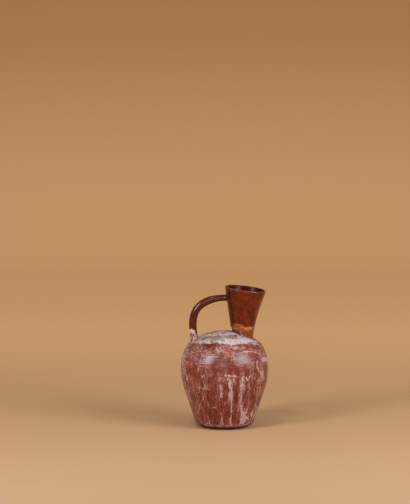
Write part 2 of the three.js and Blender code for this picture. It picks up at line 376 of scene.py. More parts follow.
# Glossy brown glaze that pools dark and thins to amber, with an ochre band and pale slip where
# brushed. It is made once for the outside and once, with less shine, for the inside of the neck.
def brownGlaze(name, specular):
    mat = newMaterial(name)
    (ochre, bright, dark, pale), wrap, climb = readFinish(mat)
    marks = partial(grain, mat, wrap)
    run = marks(120, (1, 1, 0.9), edge=0.15)
    pool = marks(40, (1, 1, 0.8), detail=3, roughness=0.55, shift=2.2, edge=0.14)
    mottle = marks(300, detail=5, roughness=0.7, shift=5.3, edge=0.12)
    speck = marks(420, detail=5, roughness=0.7, shift=7.7, edge=0.14)
    ripple = marks(260, (1, 1, 0.6), detail=3, roughness=0.5, shift=4.4)
    amount = summed(mat, times(mat, pool, 0.4), (run, 0.45), (speck, 0.15))
    brown = mixed(mat, amount, glaze["deep"], glaze["amber"])
    brightShare = times(mat, bright, ranged(mat, mottle, 0.1, 0.7, 0.35, 1))
    redShare = summed(mat, ranged(mat, climb, *glaze["redBelow"]), (mottle, 1), (bright, -0.3))
    redShare = ranged(mat, redShare, 0.5, 1.1, 0, 0.9)
    bandColour = mixed(mat, brightShare, glaze["ochre"], glaze["brightOchre"])
    bandColour = mixed(mat, redShare, bandColour, glaze["footRed"])
    band = ranged(mat, summed(mat, ochre, (speck, 0.55)), *glaze["bandEdge"])
    slip = ranged(mat, summed(mat, pale, (speck, 0.8)), *glaze["slipEdge"])
    colour = layered(
        mat, brown,
        # Lighter where the glaze thins, and painted highlights and reflections on the lip and down
        # the neck's right edge
        (times(mat, bright, 0.7), glaze["thin"]),
        (band, bandColour),
        # Darker glaze, and painted shade and shadow in the mouth, the cove, under the lip and in
        # the coil's and handle's creases
        (times(mat, dark, 0.85), glaze["black"]),
        (times(mat, slip, 0.9), glaze["pale"]),
    )
    rough = ranged(mat, maths(mat, "MAXIMUM", band, slip), *glaze["shine"])
    rough = maths(mat, "ADD", rough, ranged(mat, dark, *glaze["dullInside"]))
    normal = bumped(mat, summed(mat, band, (ripple, 0.4)), glaze["bump"])
    return coated(mat, colour, rough, {"Normal": normal, "Specular IOR Level": specular})


footClay = {
    # The clay tones are set dark, partly as painted shade for the gap under the body where the foot
    # ring sits
    "clay": srgb(92, 52, 39),
    "dark": srgb(50, 26, 19),
    "grog": srgb(146, 104, 84),
    "wash": srgb(150, 100, 87),
    "washEdge": (0.7, 1.15, 0, 0.8),
    "shine": (0.3, 0.7, 0.66, 0.85),
    "bump": 0.6,
}


# Unglazed clay with darker blotches and light grog specks, and a wash where it was brushed over
def bareClay():
    mat = newMaterial("bareClay")
    wash = readFinish(mat)[0][0]
    place = add(mat, "TexCoord").outputs["Object"]
    blotch = grain(mat, place, 70)
    grog = grain(mat, place, 900, detail=2, roughness=0.5, shift=2.9)
    clay = mixed(mat, ranged(mat, blotch, 0.38, 0.62), footClay["dark"], footClay["clay"])
    grogShare = ranged(mat, grog, 0.62, 0.7, 0, 0.7)
    washShare = ranged(mat, summed(mat, wash, (blotch, 0.8)), *footClay["washEdge"])
    colour = layered(mat, clay, (grogShare, footClay["grog"]), (washShare, footClay["wash"]))
    rough = ranged(mat, blotch, *footClay["shine"])
    height = summed(mat, blotch, (grog, 0.6))
    return coated(mat, colour, rough, {"Normal": bumped(mat, height, footClay["bump"])})


scumbledFinish = scumbledClay()
glazeFinish = brownGlaze("brownGlaze", glaze["specular"])
mouthFinish = brownGlaze("mouthGlaze", glaze["insideSpecular"])
bareFinish = bareClay()
print("materials made")

# Body

body = {
    "wallBottom": 12,
    "wall": 6,
    "bellyRadius": 93.4,
    "bellyHeight": 128,
    "lowerArcRadius": 159,
    "lowerTaper": 18.7,
    "upperArcRadius": 90,
    "upperArcAngle": 31.5,
    "shoulderRadius": 18,
    "shoulderAngle": 20.5,
    "segments": 320,
    "spacing": 1.8,
    "innerSpacing": 6,
    "jointRound": 0.5,
    "jointDepth": 0.35,
    "wrapRadius": 90,
    "crownEdge": 75.9,
    "shoulderTop": 178,
    "boreRadius": 17.2,
    "boreDepth": 60,
    "boreHeight": 195,
}
neckOffset = 37.8

tanTaper = tan(radians(body["lowerTaper"]))
lowerCentre = (body["bellyRadius"] - body["lowerArcRadius"], body["bellyHeight"])
upperCentre = (body["bellyRadius"] - body["upperArcRadius"], body["bellyHeight"])
shoulderTurn = body["upperArcRadius"] - body["shoulderRadius"]
shoulderCentre = (
    upperCentre[0] + shoulderTurn * cos(radians(body["upperArcAngle"])),
    upperCentre[1] + shoulderTurn * sin(radians(body["upperArcAngle"])),
)
crownAngle = body["upperArcAngle"] + body["shoulderAngle"]
crownRadius = body["shoulderRadius"] + shoulderCentre[0] / cos(radians(crownAngle))
crownCentre = shoulderCentre[1] - shoulderCentre[0] * tan(radians(crownAngle))


def arcLine(centre, radius, start, end, spacing):
    steps = max(2, ceil(abs(radians(end - start)) * radius / spacing))
    angles = [radians(start + (end - start) * i / steps) for i in range(steps + 1)]
    return [(centre[0] + radius * cos(a), centre[1] + radius * sin(a)) for a in angles]


def lowerLine(depth, spacing):
    rise = arcLine(lowerCentre, body["lowerArcRadius"] - depth, -body["lowerTaper"], 0, spacing)
    topR, topZ = rise[0]
    bottom = body["wallBottom"]
    footR = topR - (topZ - bottom) * tanTaper
    steps = ceil((topZ - bottom) / spacing)
    return [
        (footR + (topR - footR) * i / steps, bottom + (topZ - bottom) * i / steps)
        for i in range(steps)
    ] + rise


def upperLine(depth, spacing):
    line = arcLine(upperCentre, body["upperArcRadius"] - depth, 0, body["upperArcAngle"], spacing)
    shoulder = (body["shoulderRadius"] - depth, body["upperArcAngle"], crownAngle, spacing)
    line += arcLine(shoulderCentre, *shoulder)[1:]
    line += arcLine((0, crownCentre), crownRadius - depth, crownAngle, 90, spacing)[1:-1]
    return line + [(0, crownCentre + crownRadius - depth)]


def crownAt(distance):
    return crownCentre + sqrt(crownRadius**2 - distance**2)


# Reach is the length along the outer line from the wall's foot, so that strokes keep their width
outline = np.array(lowerLine(0, 1) + upperLine(0, 1)[1:])
outlineReach = np.concatenate([[0], np.cumsum(np.hypot(*np.diff(outline, axis=0).T))])


def reachAt(height):
    return np.interp(height, outline[:, 1], outlineReach)


# On the crown the outline is nearly level, so there the radius gives the reach
def reachOf(radius, height):
    upper = outline[:, 1] > body["bellyHeight"]
    byRadius = np.interp(-radius, -outline[upper, 0], outlineReach[upper])
    return np.where(height > body["shoulderTop"], byRadius, reachAt(height))


# Angles are in degrees from the front, heights in millimetres
washStrokes = [
    (15, 0.95, [(-6, 192.4), (12, 191.3), (30, 190.8), (48, 190.4), (62, 187.6)]),
    (13, 0.82, [(-40, 193), (-24, 193.6), (-5, 193.8)]),
    (5, 0.95, [(-26, 191.8), (-12, 192.2)]),
    (7, 0.85, [(48, 189), (63, 187.5), (78, 184)]),
    (9, 0.72, [(-72, 185), (-52, 188.5), (-32, 190)]),
    (15, 0.62, [(-95, 192), (-62, 197), (-30, 201), (0, 204)]),
    (2.4, 0.9, [(57, 180.5), (64, 182), (71, 180)]),
    (1.4, 1, [(29, 172), (45, 170), (55, 166), (63, 157)]),
    (7, 0.46, [(10, 182), (22, 178), (33, 180)]),
    (13, 0.8, [(-10, 201), (30, 203), (70, 203)]),
    (3.4, 1.3, [(50, 201.7), (57, 201.2)]),
    (4, 0.5, [(-14, 181), (-9, 174)]),
    (7, 0.76, [(62, 150), (76, 148), (92, 143)]),
    (3.2, 0.62, [(50, 149), (47.5, 139), (51, 128), (57, 121)]),
    (3.2, 0.65, [(58, 132), (61, 114)]),
    (2, 0.85, [(0, 124.5), (9, 123), (17, 121)]),
    (1.6, 0.55, [(19, 120.5), (28, 119.5), (38, 119)]),
    (2.5, 0.95, [(29.5, 116), (31.5, 112)]),
    (24, 0.42, [(-80, 172), (-73, 140), (-66, 105), (-70, 70)]),
    (7.5, 0.56, [(-28, 120), (-27, 106), (-26, 96)]),
    (1.4, 0.6, [(-38, 94), (-28, 93), (-20, 92.5)]),
    (6.5, 0.38, [(-6, 118), (-5, 95), (-5, 60)]),
    (2.4, 0.8, [(-5, 102), (-5, 88)]),
    (4, 0.55, [(-6, 40), (-5, 15)]),
    (1.5, 0.75, [(-20, 52), (-14, 52.5)]),
    (7.2, 0.82, [(7.5, 106), (8.5, 88), (9, 72)]),
    (11, 0.36, [(7, 118), (8.5, 92), (9, 64)]),
    (11, 0.36, [(24, 120), (24, 92), (25, 60)]),
    (2.4, 0.68, [(9.5, 72), (11, 50), (11.5, 14)]),
    (5.6, 0.78, [(24, 117), (23, 95), (24, 66)]),
    (3.6, 0.66, [(25, 67), (28, 50), (29, 42)]),
    (4, 0.68, [(29, 44), (32, 34), (33, 23)]),
    (8, 0.76, [(33, 38), (38, 27), (36, 15)]),
    (4, 0.85, [(31, 24), (36, 19), (43, 18)]),
    (3, 0.7, [(61, 52), (66, 33), (64, 14)]),
    (2.6, 0.7, [(38, 30), (45, 25), (52, 21)]),
    (2.4, 0.85, [(39, 47), (40, 37)]),
    (4.5, 0.62, [(68, 46), (72, 31), (67, 18)]),
    (1.8, 0.7, [(-51, 37), (-42, 54), (-33, 72)]),
    (1.3, 0.55, [(-40, 13.5), (0, 13), (62, 13.5)]),
    (10, 0.33, [(38, 150), (37, 110), (36, 60), (38, 20)]),
    (11, 0.3, [(58, 140), (60, 100), (60, 60), (58, 20)]),
    (6, 0.65, [(56, 34), (58, 22), (55, 14)]),
]
bareStrokes = [
    (4.5, 0.6, [(-20, 185), (-17, 178)]),
    (7, 0.3, [(38, 181), (60, 176)]),
    (11, 0.33, [(38, 160), (60, 154)]),
    (14, 0.07, [(-8, 160), (12, 158), (30, 160)]),
    (7, 0.2, [(-45, 140), (-43, 112), (-42, 90)]),
    (11, 0.45, [(-5, 148), (12, 142)]),
    (6, 0.5, [(-36, 182.5), (-18, 183.5)]),
    (6, 0.25, [(14, 131), (30, 130), (46, 130)]),
    (9, 0.12, [(-24, 85), (-20, 50), (-16, 16)]),
    (4, 0.2, [(15, 100), (17, 60), (19, 20)]),
]
rustStrokes = [
    (6, 0.55, [(-50, 142), (-46, 115), (-42, 85)]),
    (6, 0.7, [(-30, 88), (-24, 82), (-20, 75)]),
    (4, 0.5, [(-20, 185), (-17, 178)]),
    (9, 0.35, [(40, 178), (62, 168)]),
]
darkStrokes = [
    (2.3, 1, [(-78, 170), (-60, 176), (-45, 180), (-31, 184.5), (-16, 185.5)]),
    (5, 0.6, [(-42, 178.5), (-34, 180.5), (-25, 180)]),
    (3.5, 0.4, [(-36, 183.5), (-18, 184.5)]),
    (3, 0.2, [(-20, 186), (-16, 180)]),
    (1.3, 0.8, [(63, 179.6), (67, 179)]),
    (2, 0.45, [(-60, 193), (-40, 196), (-24, 196)]),
    (10, 0.33, [(-23, 86), (-20, 50), (-16, 16)]),
    (6, 0.4, [(-17, 45), (-14, 21)]),
    (4, 0.45, [(4, 62), (3, 29)]),
    (4, 0.35, [(16, 100), (17, 60), (18, 24)]),
    (2.2, 0.8, [(46, 186.5), (62, 185), (84, 179)]),
    (0.9, 0.7, [(-27, 160), (-26, 150)]),
    (0.9, 0.75, [(-23.5, 157), (-23, 144)]),
    (0.8, 0.7, [(-20.5, 160), (-20, 150)]),
    (0.9, 0.7, [(-17.5, 155), (-18, 145)]),
    (0.9, 0.65, [(18, 160), (19, 148)]),
    (1, 0.7, [(22, 155), (22.5, 141)]),
    (0.8, 0.7, [(26, 162), (26, 150)]),
    (0.9, 0.7, [(29, 156), (29.5, 142)]),
    (0.8, 0.6, [(32, 162), (32.5, 150)]),
    (2, 0.35, [(-60, 152), (-50, 150)]),
    (1, 0.75, [(-10, 133.5), (4, 133), (8, 132)]),
    (0.9, 0.6, [(-18, 137), (-8, 136.5)]),
    (1, 0.7, [(-47, 171), (-45.5, 160)]),
    (2.2, 0.65, [(-54, 155), (-50.5, 156)]),
]
greenStrokes = [
    (9, 0.45, [(-75, 189), (-50, 194), (-20, 198), (0, 200)]),
    (7, 0.6, [(-30, 192), (-14, 196), (-4, 193)]),
    (3.5, 0.9, [(-22, 194), (-13, 196)]),
    (2.4, 0.8, [(-9.5, 176), (-7, 171)]),
]
strokes = {"wash": washStrokes, "bare": bareStrokes, "rust": rustStrokes, "dark": darkStrokes}
strokes["green"] = greenStrokes


# The far side gets strokes of the same kinds, each in its own seeded place
def farStrokes():
    draw = random.Random(41).uniform
    for _ in range(9):
        angle, height = draw(95, 262), draw(187, 202)
        path = [(angle, height), (angle + draw(18, 42), height + draw(-4, 4))]
        washStrokes.append((draw(7, 14), draw(0.6, 0.95), path))
    for _ in range(13):
        angle, top = draw(96, 264), draw(70, 122)
        low = max(14, top - draw(25, 75))
        path = [(angle, top), (angle + draw(-3, 3), low)]
        washStrokes.append((draw(1.8, 4.8), draw(0.6, 0.95), path))
    for _ in range(10):
        angle, height = draw(95, 250), draw(120, 180)
        path = [(angle, height), (angle + draw(8, 30), height + draw(-5, 5))]
        washStrokes.append((draw(1.4, 4), draw(0.5, 0.95), path))
    for _ in range(8):
        angle, height = draw(95, 260), draw(30, 165)
        path = [(angle, height), (angle + draw(-2, 2), height - draw(10, 40))]
        darkStrokes.append((draw(3, 8), draw(0.3, 0.5), path))
        path = [(angle + 30, height + 15), (angle + 31, height - 12)]
        rustStrokes.append((draw(4, 8), draw(0.4, 0.8), path))
    for _ in range(3):
        angle = draw(100, 250)
        greenStrokes.append((draw(3, 6), 0.8, [(angle, 194), (angle + 9, 197)]))


farStrokes()

# Fine upright marks on the right of the lower half
for i in range(9):
    angle, top, low = 33 + 6.1 * i, 117 - 3 * (i % 3), 64 + 4 * (i % 4)
    washStrokes.append((1.1, 0.42, [(angle, top), (angle + 1, low)]))

bodySkin = {
    "waver": 1.6,
    "washHeights": [12, 100, 128, 175, 184, 190, 206],
    "washAmounts": [0.14, 0.15, 0.18, 0.22, 0.26, 0.5, 0.5],
    "washUneven": 0.16,
    "washRelief": 0.22,
    "brushRelief": 0.1,
    "ridgeRelief": 0.1,
    "wallRelief": 0.25,
}


# Brushes a half of the body and raises the wash a little over the clay
def finishBody(piece):
    places = placesOf(piece)
    x, y, height = places.T
    radius = np.hypot(x, y)
    angle = np.degrees(np.arctan2(x, -y))
    reach = reachOf(radius, height)
    turn = np.radians(angle)
    onCrown = (height > body["shoulderTop"]) & (radius < body["crownEdge"])
    around = body["wrapRadius"] * np.where(onCrown, radius / body["crownEdge"], 1)
    wrapped = np.stack([around * np.cos(turn), around * np.sin(turn), reach], 1)
    shift = bodySkin["waver"] * cloud(wrapped, 7, 11.5)
    rise = bodySkin["waver"] * cloud(wrapped, 7, 31.5)
    bent = angle + np.degrees(shift / np.maximum(radius, 8))
    lay = partial(brushed, bent, reach + rise, radius, reachAt=reachAt)
    fields = {kind: lay(rows) for kind, rows in strokes.items()}
    base = np.interp(height, bodySkin["washHeights"], bodySkin["washAmounts"])
    base += bodySkin["washUneven"] * cloud(wrapped, (30, 30, 40), 5.5)
    fields["wash"] = np.maximum(base - fields["bare"], fields["wash"])
    outside = outerShare(radius, height)
    kept = [fields[kind] * outside for kind in ("wash", "rust", "dark", "green")]
    keepFinish(piece, kept, wrapped)
    level = cloud(wrapped, (60, 60, 3.4), 2.5)
    upright = cloud(wrapped, (3.2, 3.2, 30), 8.5)
    above = smoothStep((height - 118) / 20)  # the strokes turn from upright to level here
    relief = bodySkin["washRelief"] * kept[0]
    relief += bodySkin["brushRelief"] * (above * level + (1 - above) * upright)
    relief += bodySkin["ridgeRelief"] * cloud(wrapped * (0.002, 0.002, 1), 9, 6.5)
    relief += bodySkin["wallRelief"] * cloud(places, 70, 3.5)
    edge = smoothStep((height - body["wallBottom"] - 0.5) / 2)
    raiseSkin(piece, relief * outside * edge)


# 1 on the outer face, 0 on the inner one
def outerShare(radius, height):
    wallDepth = np.interp(height, outline[:, 1], outline[:, 0]) - radius
    crownDepth = crownRadius - np.hypot(radius, height - crownCentre)
    depth = np.where(height > body["shoulderTop"], crownDepth, wallDepth)
    return smoothStep((body["wall"] * 0.6 - depth) / (body["wall"] * 0.3))


# The rounded edge at the joint of the two halves, below it for side -1 and above it for side 1
def jointEdge(side):
    radius, height = body["bellyRadius"], body["bellyHeight"]
    depth = body["jointDepth"]
    rounding = side * body["jointRound"]
    return [
        (radius, height + rounding),
        (radius - depth * 0.3, height + rounding * 0.3),
        (radius - depth, height),
    ]


def makeLowerBody():
    outer = lowerLine(0, body["spacing"])
    inner = lowerLine(body["wall"], body["innerSpacing"])
    footR, footZ = outer[0]
    eased = [(footR - 0.7, footZ), (footR - 0.1, footZ + 0.25)]
    line = eased + outer[1:-1] + jointEdge(-1) + inner[::-1] + [eased[0]]
    piece = throwOnWheel("bodyLower", line, body["segments"])
    finishBody(piece)
    declare(piece, "lower_bowl", scumbledFinish, 50)


def makeUpperBody():
    outer = upperLine(0, body["spacing"])
    inner = upperLine(body["wall"], body["innerSpacing"])
    rim = jointEdge(1)
    line = rim[::-1] + outer[1:] + inner[::-1] + [rim[-1]]
    piece = throwOnWheel("bodyUpper", line, body["segments"])
    pickNothing()
    hole = {"radius": body["boreRadius"] * mm, "depth": body["boreDepth"] * mm, "vertices": 96}
    middle = (neckOffset * mm, 0, body["boreHeight"] * mm)
    bpy.ops.mesh.primitive_cylinder_add(location=middle, **hole)
    cutter = nameNew("neckHole")
    applyModifier(piece, "BOOLEAN", operation="DIFFERENCE", object=cutter, solver="EXACT")
    bpy.data.objects.remove(cutter)
    finishBody(piece)
    declare(piece, "upper_dome", scumbledFinish, 50)


makeLowerBody()
makeUpperBody()

# Foot ring and floor slab

foot = {"height": 5, "radius": 50.5, "width": 8.5, "edgeRound": 1.2, "segments": 192}


def cornerLine(centre, start):
    return arcLine(centre, foot["edgeRound"], start, start + 90, 0.35)


def makeFootRing():
    inner = foot["radius"] - foot["width"]
    edge = foot["edgeRound"]
    line = cornerLine((inner + edge, edge), 180) + cornerLine((foot["radius"] - edge, edge), 270)
    line += [(foot["radius"] + 0.2, 3), (foot["radius"], foot["height"] + 0.3)]
    line += [(inner, foot["height"] + 0.3), (inner - 0.2, 3), line[0]]
    piece = throwOnWheel("footRing", line, foot["segments"])
    places = placesOf(piece)
    rough = 0.25 * cloud(places, (14, 14, 9), 4.5) * smoothStep((places[:, 2] - 0.6) / 1.5)
    raiseSkin(piece, rough)
    declare(piece, "foot_ring", bareFinish, 40)


slab = {
    "underRadius": 56,
    "thickness": 7,
    "bulge": 1.8,
    "bulgeHeight": 2.5,
    "groove": 0.5,
    "edgeSteps": 14,
}


def makeFloorSlab():
    wallFoot = lowerLine(0, 2)[0][0]
    low = foot["height"]
    high = low + slab["thickness"]
    start = (slab["underRadius"], low)
    middle = (wallFoot + slab["bulge"], low + slab["bulgeHeight"])
    end = (wallFoot - 0.1, high - slab["groove"])
    edge = []
    for i in range(slab["edgeSteps"] + 1):
        t = i / slab["edgeSteps"]
        ends = zip(start, middle, end)
        edge.append(tuple(a * (1 - t) ** 2 + 2 * b * t * (1 - t) + c * t * t for a, b, c in ends))
    under = [(r, low) for r in (0, 14, 28, 40, 50)]
    above = [(wallFoot - 0.6, high)] + [(r, high) for r in (56, 42, 28, 14, 0)]
    piece = throwOnWheel("floorSlab", under + edge + above, foot["segments"])
    places = placesOf(piece)
    x, y, z = places.T
    relief = 0.2 * cloud(places, (16, 16, 6), 9.5) + 0.1 * cloud(places, (5, 5, 3), 1.5)
    edgeShare = smoothStep((np.hypot(x, y) - 55) / 3)
    washed = 0.6 + 0.2 * cloud(places, (9, 9, 5), 5.5)
    washed = edgeShare * smoothStep((z - 6) / 3) * washed
    keepFinish(piece, (np.clip(washed, 0, 1), 0, 0, 0), places)
    raiseSkin(piece, relief * edgeShare)
    declare(piece, "floor_slab", bareFinish, 40)


makeFootRing()
makeFloorSlab()

# Neck

neck = {
    "radius": 22.2,
    "flare": 22,
    "collar": 29,
    "wall": 5,
    "lip": 4.2,
    "length": 112.89,
    "bottom": 182.34,
    "tilt": 6.9,
    "shift": 6.7,
    "segments": 192,
    "sink": 0.8,
    "bandTop": [
        (-180, 223), (-152, 224), (-122, 225.5), (-103, 224.6), (-89, 222), (-79, 219.4),
        (-59, 218.2), (-32, 217.2), (0, 216),
    ],
    "edge": [(-180, 213), (-150, 213.2), (-129, 212.6), (-118, 209.4), (-105, 204.2), (-92, 198)],
    "recess": 2.2,
    "rimRelief": 0.35,
    "ridgeRelief": 0.14,
    "wallRelief": 0.3,
    "fineStep": 0.012,
    "coarseStep": 0.018,
    "lipSteps": 12,
    "innerSteps": 36,
    "wrapRadius": 40,
}


# Radius and height on the outer face, at a share of the curve
def neckPoint(t):
    rise = 2 * t * (1 - t) * neck["collar"] + t * t * neck["length"]
    return neck["radius"] + neck["flare"] * t * t, rise


def neckLine():
    outer = []
    t = 0
    while t < 1:
        outer.append(neckPoint(t))
        t += neck["fineStep"] if t < 0.5 else neck["coarseStep"]
    outer.append(neckPoint(1))
    mouthR, mouthZ = outer[-1]
    half = neck["lip"] / 2
    turns = [pi * i / neck["lipSteps"] for i in range(1, neck["lipSteps"])]
    lip = [(mouthR - half + half * cos(a), mouthZ + half * sin(a)) for a in turns]
    inner = []
    for i in range(neck["innerSteps"] + 1):
        radius, rise = neckPoint(1 - i / neck["innerSteps"])
        share = rise / neck["length"]
        inner.append((radius - neck["wall"] - (neck["lip"] - neck["wall"]) * share, rise))
    return outer + lip + inner + [outer[0]]


# The angle about the neck's own bent axis, in degrees from its open side, and the distance from it
def neckPlaces(places):
    x, y, z = places.T
    share = np.clip((z - neck["bottom"]) / neck["length"], 0, 1)
    across = x - neckOffset - neck["shift"] * share**2
    return np.degrees(np.arctan2(y, across)), np.hypot(across, y)


# The height of the band's lower edge over the cove, alike on the near side and the far one
def edgeHeight(angle):
    angles, heights = zip(*neck["edge"])
    return np.interp(-np.abs(angle), angles, heights, right=0)


neckStrokes = {
    "bright": [
        (2.6, 1, [(-78, 214.2), (-69, 213.6)]),
        (3.2, 1, [(-56, 214), (-44, 213.4)]),
        (1.5, 0.9, [(-58, 218), (-54, 217.6)]),
        (1.6, 0.9, [(-101, 214), (-98, 215.6), (-91, 218)]),
        (1.4, 0.6, [(-112, 222.5), (-104, 222)]),
        (1.5, 0.5, [(-133, 214.5), (-127, 214)]),
        # Painted reflections: thin light streaks near the neck's right edge
        (0.8, 0.8, [(-31, 274), (-27, 262)]),
        (0.7, 0.7, [(-24, 269), (-21, 256)]),
        (0.7, 0.6, [(-36, 252), (-33, 243)]),
        (3, 0.5, [(20, 210), (50, 212)]),
    ],
    "dark": [
        # Painted shade down the neck's left side, where it turns away from the lamps
        (16, 0.8, [(-156, 296), (-153, 262), (-150, 228)]),
        (1.1, 0.6, [(-150, 226.5), (-122, 227.5), (-103, 226.5), (-89, 224), (-79, 220.5),
                    (-32, 218)]),
        # Painted shadow in the cove under the neck's lifted foot edge, on the handle's side, front
        # and back
        (3, 0.8, [(-180, 207), (-156, 207.5), (-129, 207), (-112, 204), (-100, 200)]),
        (3, 0.8, [(180, 207), (156, 207.5), (129, 207), (112, 204), (100, 200)]),
        # Painted shade just under the front of the lip
        (1.6, 0.35, [(-110, 290), (-60, 288), (-20, 284)]),
        (1.6, 0.5, [(-134, 218), (-126, 217.6)]),
        (1.3, 0.45, [(-122, 213.6), (-117, 212)]),
        (1.2, 0.4, [(-93, 213.6), (-89, 212)]),
        (1.1, 0.45, [(-40, 217.5), (-34, 216.5)]),
        (2, 0.35, [(-90, 205), (-72, 203.5), (-58, 204)]),
    ],
    "pale": [
        (1.3, 1, [(-170, 213.6), (-150, 213.6), (-129, 213), (-118, 210), (-105, 205), (-97, 201)]),
        (1.6, 1, [(-101, 203.5), (-96, 201)]),
        (1.4, 0.8, [(-112, 200.2), (-104, 199.8)]),
        (1.3, 0.7, [(-93, 199.4), (-88, 199)]),
        (1.5, 0.65, [(-74, 198.4), (-68, 198.2)]),
        (1.3, 0.6, [(-48, 195), (-42, 194.4)]),
    ],
}


def makeNeck():
    piece = throwOnWheel("neckFunnel", neckLine(), neck["segments"])
    bend = {"deform_method": "BEND", "deform_axis": "Y", "angle": radians(neck["tilt"])}
    applyModifier(piece, "SIMPLE_DEFORM", **bend)
    pick(piece)
    editAll()
    bpy.ops.transform.translate(value=(neckOffset * mm, 0, neck["bottom"] * mm))
    left, right = neckOffset - neck["radius"] - 1, neckOffset + neck["radius"]
    fall = (crownAt(left) - crownAt(right)) / (right - left)
    seat = (left * mm, 0, (crownAt(left) - neck["sink"]) * mm)
    bpy.ops.mesh.select_all(action="SELECT")
    bpy.ops.mesh.bisect(plane_co=seat, plane_no=(fall, 0, 1), clear_inner=True, threshold=0.01 * mm)
    bpy.ops.mesh.select_all(action="DESELECT")
    bpy.ops.mesh.select_non_manifold(extend=False)
    bpy.ops.mesh.bridge_edge_loops()
    tidySkin()
    outside = finishNeck(piece)
    declare(piece, "neck_funnel", glazeFinish, 50)
    piece.data.materials.append(mouthFinish)
    for face in piece.data.polygons:
        face.material_index = int(max(outside[i] for i in face.vertices) < 0.5)


# Brushes the neck and raises its ridges, and says how far each point is on the outer face
def finishNeck(piece):
    places = placesOf(piece)
    x, z = places[:, 0], places[:, 2]
    angle, radius = neckPlaces(places)
    rise = z - neck["bottom"]
    share = np.clip(rise / neck["length"], 0, 1)
    outerRadius = np.interp(rise, *np.array([neckPoint(i / 60)[::-1] for i in range(61)]).T)
    outside = smoothStep((radius - outerRadius + 3) / 2)
    turn = np.radians(angle)
    around = neck["wrapRadius"]
    wrapped = np.stack([around * np.cos(turn), around * np.sin(turn), z], 1)
    bent = angle + np.degrees(0.9 * cloud(wrapped, 4, 12.5) / radius)
    height = z + 0.9 * cloud(wrapped, 4, 22.5)
    bandTop = np.interp(-np.abs(bent), *np.array(neck["bandTop"]).T)
    band = smoothStep((bandTop - height) / 1.4) * outside
    lay = partial(brushed, bent, height, radius, reachAt=float)
    bright, dark, pale = [lay(rows) * outside for rows in neckStrokes.values()]
    # The inside of the mouth is painted dark (painted shade), a little less so where a highlight
    # falls on its back wall
    inside = 0.8 - 0.2 * bell(angle, 112, 16) + 0.03 * cloud(wrapped, 12, 51.5)
    dark = np.maximum(dark, inside * (1 - outside))
    tilt = radians(neck["tilt"])
    mouthX = neckOffset + neck["shift"]
    overMouth = (x - mouthX) * sin(tilt) + (rise - neck["length"]) * cos(tilt)
    # The lip is painted lighter where the glaze thins, with a painted highlight on its front left
    lipThinningAndHighlight = 0.22 + 0.4 * bell(angle, -118, 22) + 0.5 * cloud(wrapped, 9, 41.5)
    lip = smoothStep((overMouth + 0.3) / 1.2) * lipThinningAndHighlight
    bright = np.maximum(bright, np.clip(lip, 0, 1))
    keepFinish(piece, (band, bright, dark, pale), wrapped)
    edge = edgeHeight(angle)
    below = edge - z
    nearFront = smoothStep((edge - 199) / 8) * outside
    recess = neck["recess"] * smoothStep(below / 0.9) * nearFront
    rim = neck["rimRelief"] * bell(-below, 0.8, 1) * nearFront
    ridges = neck["ridgeRelief"] * cloud(wrapped * (0.01, 0.01, 1), 7, 2.5)
    wobble = neck["wallRelief"] * cloud(places, (45, 45, 60), 7.5) * smoothStep(1.2 - share)
    raiseSkin(piece, ridges + wobble - recess + rim)
    return outside


makeNeck()

coil = {"radius": 2.3, "turn": 20.3, "shift": 0.95, "rise": 0.9, "segments": 176, "sides": 20}
coilStrokes = {
    "ochre": [(8, 0.75, [(-95, 0), (-40, 0), (40, 0), (95, 0)])],
    "bright": [],
    "dark": [
        # Painted shadow on the coil where it lies in the cove on the handle's side
        (12, 0.9, [(-180, 0), (-120, 0), (-100, 0)]),
        (12, 0.9, [(100, 0), (140, 0), (180, 0)]),
    ],
    "pale": [],
}


# The coil pressed into the seam follows the sloping crown. It is tucked in on the handle's side.
def makeLutingCoil():
    left, right = neckOffset - coil["turn"], neckOffset + coil["turn"]
    slope = atan2(crownAt(left) - crownAt(right), right - left)
    middle = (crownAt(left) + crownAt(right)) / 2 + coil["rise"]
    pickNothing()
    shape = {"major_radius": coil["turn"] * mm, "minor_radius": coil["radius"] * mm}
    counts = {"major_segments": coil["segments"], "minor_segments": coil["sides"]}
    bpy.ops.mesh.primitive_torus_add(**shape, **counts)
    piece = nameNew("neckLutingCoil")
    editAll()
    bpy.ops.transform.resize(value=(1 / cos(slope), 1, 1), center_override=(0, 0, 0))
    bpy.ops.object.mode_set(mode="OBJECT")
    piece.rotation_euler = (0, slope, 0)
    piece.location = ((neckOffset + coil["shift"]) * mm, 0, middle * mm)
    bpy.ops.object.transform_apply()
    places = placesOf(piece)
    angle, radius = neckPlaces(places)
    lay = partial(brushed, angle, 0, radius, reachAt=float)
    fields = [lay(rows) for rows in coilStrokes.values()]
    keepFinish(piece, fields, places)
    raiseSkin(piece, 0.35 * cloud(places, (6, 6, 4), 13.5) + 0.12 * cloud(places, 2, 3.5))
    declare(piece, "neck_luting_coil", glazeFinish, 60)


makeLutingCoil()

# Handle

handle = {
    "radius": 8.3,
    "topRadius": 6.8,
    "thinTo": -3.4,
    "fullFrom": -35.8,
    "topHeight": 276.83,
    "reach": 68,
    "outHeight": 219.93,
    "footOffset": 63,
    "lean": 8,
    "topFullness": 0.64,
    "sideFullness": 0.7,
    "footFullness": 0.45,
    "cadTopDepth": 8,
    "topDepth": 2.6,
    "cadFootDepth": 8,
    "footDepth": 4,
    "steps": 110,
    "strokeAxis": -66,
    "brushedBefore": -50,
}


# The left edge of the neck at a height
def neckLeft(height):
    rows = []
    for i in range(200):
        radius, rise = neckPoint(i / 199)
        share = rise / neck["length"]
        tilt = radians(neck["tilt"] * share)
        centre = neckOffset + neck["shift"] * share**2
        rows.append((neck["bottom"] + rise + radius * sin(tilt), centre - radius * cos(tilt)))
    heights, edges = zip(*rows)
    return float(np.interp(height, heights, edges))


